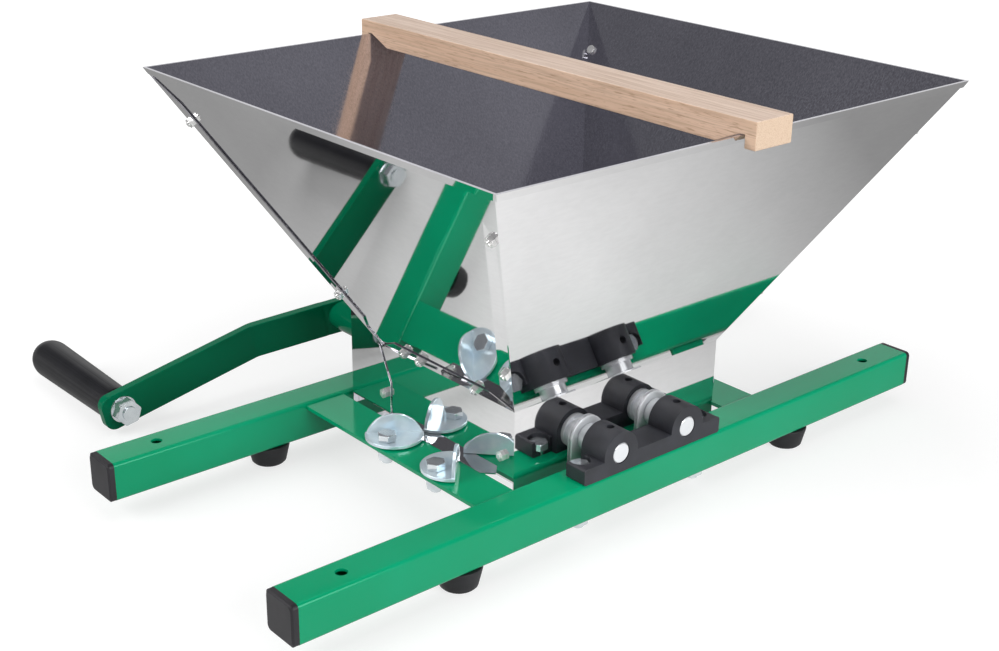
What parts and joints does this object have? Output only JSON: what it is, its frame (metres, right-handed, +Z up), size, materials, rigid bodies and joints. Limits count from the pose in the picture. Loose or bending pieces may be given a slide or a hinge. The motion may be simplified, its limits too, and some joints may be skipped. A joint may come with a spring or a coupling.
{
  "type": "apple scratter",
  "caption": "Hand-cranked fruit mill: square steel hopper over two geared toothed rollers on a rail frame, with a bent crank, a wooden cross bar and turning clamp discs.",
  "frame": {"origin": "middle of the four bench holes, on the underside of the rails", "axes": "+Z up; X along the rails; +Y across them, towards the gears and the crank"},
  "size_m": [0.624, 0.5959, 0.3155],
  "materials": {
    "green_coat": "glossy powder coat",
    "hopper_steel": "polished stainless sheet",
    "zinc_steel": "bright zinc plate",
    "shaft_steel": "turned steel",
    "blade_steel": "stainless blade strip",
    "roller_alloy": "turned aluminium",
    "gear_steel": "oiled cut steel",
    "block_nylon": "fine grained moulding",
    "cap_plastic": "moulded cap",
    "grip_plastic": "fine grained grip",
    "foot_rubber": "moulded rubber",
    "bar_wood": "planed beech"
  },
  "bodies": {
    "frame": {"near_rail": "green_coat", "far_rail": "green_coat", "rail_end_caps": "cap_plastic", "rubber_feet": "foot_rubber", "foot_screws": "zinc_steel", "left_deck_plate": "green_coat", "right_deck_plate": "green_coat", "hopper_near_panel": "hopper_steel", "hopper_far_panel": "hopper_steel", "hopper_left_panel": "hopper_steel", "hopper_right_panel": "hopper_steel", "left_neck_wall": "hopper_steel", "right_neck_wall": "hopper_steel", "gear_box": "hopper_steel", "hopper_screws": "zinc_steel", "hopper_nuts": "zinc_steel", "near_bearing_block": "block_nylon", "far_bearing_block": "block_nylon", "block_bolts": "zinc_steel", "block_nuts": "zinc_steel", "wall_seal_discs": "shaft_steel", "clamp_bolts": "zinc_steel", "clamp_nuts": "zinc_steel"},
    "crank": {"drive_shaft": "shaft_steel", "drive_roller": "roller_alloy", "drive_blades": "blade_steel", "drive_gear": "gear_steel", "drive_spacers": "shaft_steel", "drive_gear_screw": "zinc_steel", "crank_boss": "green_coat", "crank_arm": "green_coat", "crank_screw": "zinc_steel", "grip_bolt": "zinc_steel", "grip_nut": "zinc_steel"},
    "idler": {"idler_shaft": "shaft_steel", "idler_roller": "roller_alloy", "idler_blades": "blade_steel", "idler_gear": "gear_steel", "idler_spacers": "shaft_steel", "idler_gear_screw": "zinc_steel"},
    "grip": {"crank_grip": "grip_plastic"},
    "bar": {"wooden_bar": "bar_wood"},
    "disc_left_far": {"clamp_disc_left_far": "zinc_steel"},
    "disc_left_near": {"clamp_disc_left_near": "zinc_steel"},
    "disc_right_far": {"clamp_disc_right_far": "zinc_steel"},
    "disc_right_near": {"clamp_disc_right_near": "zinc_steel"}
  },
  "joints": [
    {"name": "crank_turn", "type": "hinge", "parent": "frame", "child": "crank", "pos_m": [-0.034, 0, 0.045], "axis": [0, 1, 0], "continuous": true},
    {"name": "idler_turn", "type": "hinge", "parent": "frame", "child": "idler", "pos_m": [0.034, 0, 0.045], "axis": [0, 1, 0], "continuous": true},
    {"name": "grip_spin", "type": "hinge", "parent": "crank", "child": "grip", "pos_m": [-0.23384, 0.31, 0.004], "axis": [0, 1, 0], "continuous": true},
    {"name": "bar_lift", "type": "slide", "parent": "frame", "child": "bar", "axis": [0, 0, 1], "range_m": [0, 0.1]},
    {"name": "clamp_left_far_turn", "type": "hinge", "parent": "frame", "child": "disc_left_far", "pos_m": [-0.1345, 0.01, 0.03], "axis": [0, 0, 1], "range_deg": [-90, 90]},
    {"name": "clamp_left_near_turn", "type": "hinge", "parent": "frame", "child": "disc_left_near", "pos_m": [-0.1345, -0.048, 0.03], "axis": [0, 0, 1], "range_deg": [-90, 90]},
    {"name": "clamp_right_far_turn", "type": "hinge", "parent": "frame", "child": "disc_right_far", "pos_m": [0.1345, 0.01, 0.03], "axis": [0, 0, 1], "range_deg": [-90, 90]},
    {"name": "clamp_right_near_turn", "type": "hinge", "parent": "frame", "child": "disc_right_near", "pos_m": [0.1345, -0.048, 0.03], "axis": [0, 0, 1], "range_deg": [-90, 90]}
  ],
  "couplings": [
    {"joint": "idler_turn", "follows": "crank_turn", "ratio": -1}
  ]
}
